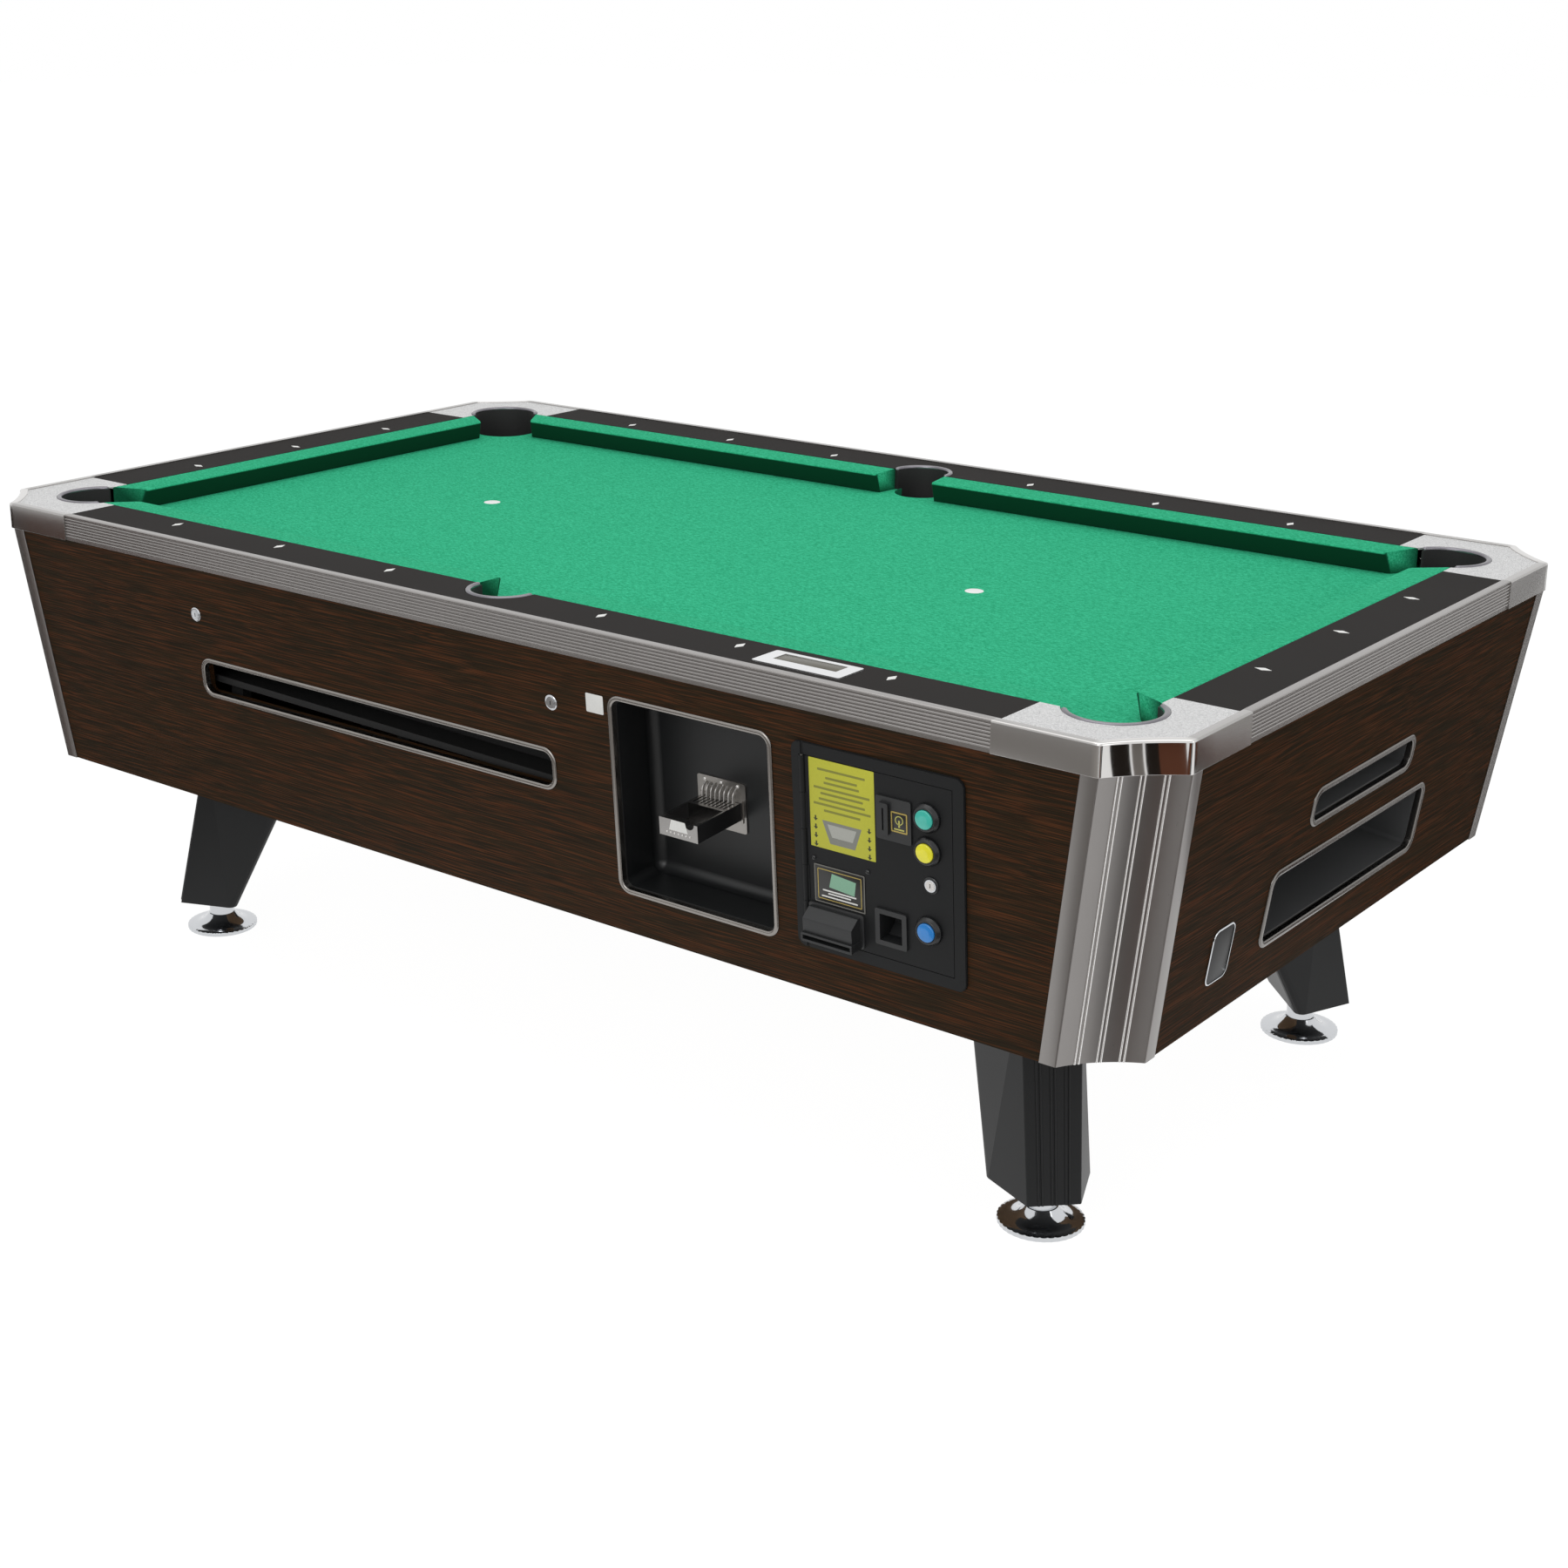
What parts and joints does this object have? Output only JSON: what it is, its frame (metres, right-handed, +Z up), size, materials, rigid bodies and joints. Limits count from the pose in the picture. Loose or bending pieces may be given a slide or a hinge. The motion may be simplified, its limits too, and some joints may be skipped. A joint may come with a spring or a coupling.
{
  "type": "coin-operated pool table",
  "caption": "Pool table with slate bed, cushions, pockets, coin slide, hinged control panel, ball return and levelling feet on tapered legs.",
  "frame": {"origin": "floor under the middle of the table", "axes": "+X along the table to the foot end with the ball return, +Y to the back, +Z up; the coin side faces -Y"},
  "size_m": [2.362, 1.346, 0.828],
  "materials": {
    "wenge_laminate": "satin laminate with horizontal grain",
    "inner_board": "raw board",
    "softwood": "planed softwood",
    "satin_aluminium": "satin anodised",
    "bright_casting": "polished casting",
    "white_plate": "white with a fine texture",
    "black_laminate": "satin black laminate",
    "cushion_cloth": "cloth stretched over rubber",
    "white_sight": "polished",
    "slate_stone": "honed",
    "green_cloth": "napped billiard cloth",
    "black_rubber": "matt",
    "black_plastic": "fine texture",
    "zinc_sheet": "zinc plated sheet",
    "steel_plate": "brushed",
    "zinc_casting": "satin plated casting",
    "grey_paint": "satin",
    "black_paint": "semi-gloss powder coat",
    "brass_plate": "satin",
    "chrome_plate": "bright",
    "teal_plastic": "translucent look",
    "yellow_plastic": "gloss",
    "blue_plastic": "gloss",
    "silver_plastic": "satin"
  },
  "bodies": {
    "table": {"front_panel": "wenge_laminate", "back_panel": "wenge_laminate", "head_panel": "wenge_laminate", "foot_panel": "wenge_laminate", "cabinet_floor": "inner_board", "corner_blocks": "softwood", "corner_posts": "satin_aluminium", "corner_castings": "bright_casting", "corner_plates": "white_plate", "side_trims": "satin_aluminium", "end_trims": "satin_aluminium", "side_rails": "black_laminate", "end_rails": "black_laminate", "side_cushions": "cushion_cloth", "end_cushions": "cushion_cloth", "rail_sights": "white_sight", "slate": "slate_stone", "playfield_cloth": "green_cloth", "slate_frame": "softwood", "corner_pocket_liners": "black_rubber", "side_pocket_liners": "black_rubber", "corner_pocket_rims": "satin_aluminium", "side_pocket_rims": "satin_aluminium", "pocket_boots": "black_plastic", "ball_runways": "zinc_sheet", "transfer_runway": "zinc_sheet", "return_runway": "zinc_sheet", "ball_storage_tray": "black_plastic", "slot_trim": "satin_aluminium", "coin_bay_liner": "black_plastic", "coin_bay_trim": "satin_aluminium", "coin_slide_plate": "steel_plate", "cash_box": "grey_paint", "control_frame": "black_paint", "door_hinge_pin": "steel_plate", "lock_bodies": "chrome_plate", "rail_display": "silver_plastic", "foot_trims": "satin_aluminium", "shelf_liner": "black_plastic", "ball_return_tray": "black_plastic", "legs": "black_paint", "leg_bolts": "steel_plate"},
    "coin_tray": {"coin_tray": "zinc_casting"},
    "ball_gate": {"ball_gate": "zinc_sheet"},
    "control_door": {"control_door": "black_paint", "coin_entry": "brass_plate", "coin_return_cup": "chrome_plate", "bill_acceptor": "black_plastic", "button_bezels": "black_plastic", "door_lock_body": "chrome_plate"},
    "start_button": {"start_button": "teal_plastic"},
    "select_button": {"select_button": "yellow_plastic"},
    "reject_button": {"reject_button": "blue_plastic"},
    "door_lock_plug": {"door_lock_plug": "chrome_plate"},
    "left_lock_plug": {"left_lock_plug": "chrome_plate"},
    "right_lock_plug": {"right_lock_plug": "chrome_plate"},
    "leveler_front_foot": {"leveler_front_foot": "chrome_plate"},
    "leveler_front_head": {"leveler_front_head": "chrome_plate"},
    "leveler_back_foot": {"leveler_back_foot": "chrome_plate"},
    "leveler_back_head": {"leveler_back_head": "chrome_plate"}
  },
  "joints": [
    {"name": "coin_tray_slide", "type": "slide", "parent": "table", "child": "coin_tray", "axis": [0, 0.9971, 0.0762], "range_m": [0, 0.085]},
    {"name": "ball_gate_lift", "type": "slide", "parent": "table", "child": "ball_gate", "axis": [0, 0, 1], "range_m": [0, 0.066]},
    {"name": "control_door_hinge", "type": "hinge", "parent": "table", "child": "control_door", "pos_m": [0.6405, -0.65507, 0.58468], "axis": [0, 0.0762, -0.9971], "range_deg": [0, 95]},
    {"name": "start_button_push", "type": "slide", "parent": "control_door", "child": "start_button", "axis": [0, 0.9971, 0.0762], "range_m": [0, 0.003], "stiffness_N_per_m": 600},
    {"name": "select_button_push", "type": "slide", "parent": "control_door", "child": "select_button", "axis": [0, 0.9971, 0.0762], "range_m": [0, 0.003], "stiffness_N_per_m": 600},
    {"name": "reject_button_push", "type": "slide", "parent": "control_door", "child": "reject_button", "axis": [0, 0.9971, 0.0762], "range_m": [0, 0.003], "stiffness_N_per_m": 600},
    {"name": "door_lock_turn", "type": "hinge", "parent": "control_door", "child": "door_lock_plug", "pos_m": [0.847, -0.65406, 0.57671], "axis": [0, -0.9971, -0.0762], "range_deg": [0, 90]},
    {"name": "left_lock_turn", "type": "hinge", "parent": "table", "child": "left_lock_plug", "pos_m": [-0.618, -0.65981, 0.702], "axis": [0, -0.9971, -0.0762], "range_deg": [-90, 0]},
    {"name": "right_lock_turn", "type": "hinge", "parent": "table", "child": "right_lock_plug", "pos_m": [0.18, -0.65981, 0.702], "axis": [0, -0.9971, -0.0762], "range_deg": [-90, 0]},
    {"name": "leveler_front_foot_turn", "type": "hinge", "parent": "table", "child": "leveler_front_foot", "pos_m": [0.897, -0.419, 0.03], "axis": [0, 0, 1], "continuous": true},
    {"name": "leveler_front_head_turn", "type": "hinge", "parent": "table", "child": "leveler_front_head", "pos_m": [-0.897, -0.419, 0.03], "axis": [0, 0, 1], "continuous": true},
    {"name": "leveler_back_foot_turn", "type": "hinge", "parent": "table", "child": "leveler_back_foot", "pos_m": [0.897, 0.419, 0.03], "axis": [0, 0, 1], "continuous": true},
    {"name": "leveler_back_head_turn", "type": "hinge", "parent": "table", "child": "leveler_back_head", "pos_m": [-0.897, 0.419, 0.03], "axis": [0, 0, 1], "continuous": true}
  ],
  "couplings": [
    {"joint": "ball_gate_lift", "follows": "coin_tray_slide", "ratio": 0.77647}
  ]
}
